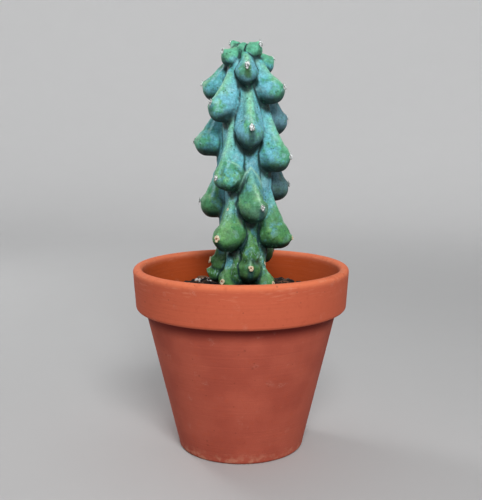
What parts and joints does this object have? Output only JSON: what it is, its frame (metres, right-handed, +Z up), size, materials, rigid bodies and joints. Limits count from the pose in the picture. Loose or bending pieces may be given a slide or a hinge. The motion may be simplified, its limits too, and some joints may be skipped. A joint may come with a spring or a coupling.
{
  "type": "potted myrtillocactus",
  "caption": "Columnar blue-green cactus with hanging pear-shaped tubercles, standing in gritty soil in a plain terracotta pot with a banded rim.",
  "frame": {"origin": "centre of the pot's foot, on the surface it stands on", "axes": "+Z up along the pot's axis, -Y towards the pictured front, +X to its right"},
  "size_m": [0.14, 0.14, 0.2634],
  "materials": {
    "terracotta": "unglazed orange terracotta clay, matte, with faint turning lines and pale scuffs on the lip",
    "cactus_skin": "waxy blue-green skin with a pale bloom, greener where the bloom is rubbed off",
    "soil": "very dark brown gritty potting soil, matte",
    "bark": "rough brown bark",
    "perlite": "chalky off-white perlite"
  },
  "bodies": {
    "root": {"pot": "terracotta", "potting_soil": "soil", "cactus": "cactus_skin", "bark_chip_1": "bark", "bark_chip_2": "bark", "bark_chip_3": "bark", "perlite_grain_1": "perlite", "perlite_grain_2": "perlite", "perlite_grain_3": "perlite", "perlite_grain_4": "perlite", "perlite_grain_5": "perlite", "perlite_grain_6": "perlite"}
  },
  "joints": []
}
